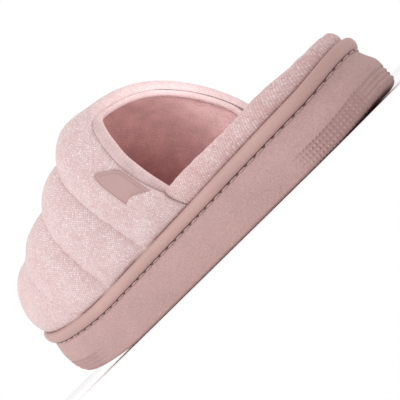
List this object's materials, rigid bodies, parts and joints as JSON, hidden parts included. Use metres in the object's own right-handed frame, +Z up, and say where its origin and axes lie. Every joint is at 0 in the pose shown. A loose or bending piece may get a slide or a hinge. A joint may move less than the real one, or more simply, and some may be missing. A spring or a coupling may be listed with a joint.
{
  "type": "mule slipper",
  "caption": "Quilted knit mule slipper for the right foot, with a plush collar roll, an open heel with a padded rim, and a moulded rubber sole.",
  "frame": {"origin": "middle of the footprint's box on the floor", "axes": "+X from toe to heel, +Y to the outer side of the foot, +Z up"},
  "size_m": [0.269, 0.1026, 0.103],
  "materials": {
    "sole": "matte, fine grain",
    "strip": "smooth matte",
    "knit": "fine knit with metallic thread",
    "plush": "short plush",
    "footbed": "short plush",
    "patch": "smooth matte"
  },
  "bodies": {
    "root": {"outsole": "sole", "welt_strip": "strip", "upper": "knit", "heel_rim": "knit", "collar_binding": "plush", "insole": "footbed", "label_patch": "patch"}
  },
  "joints": []
}
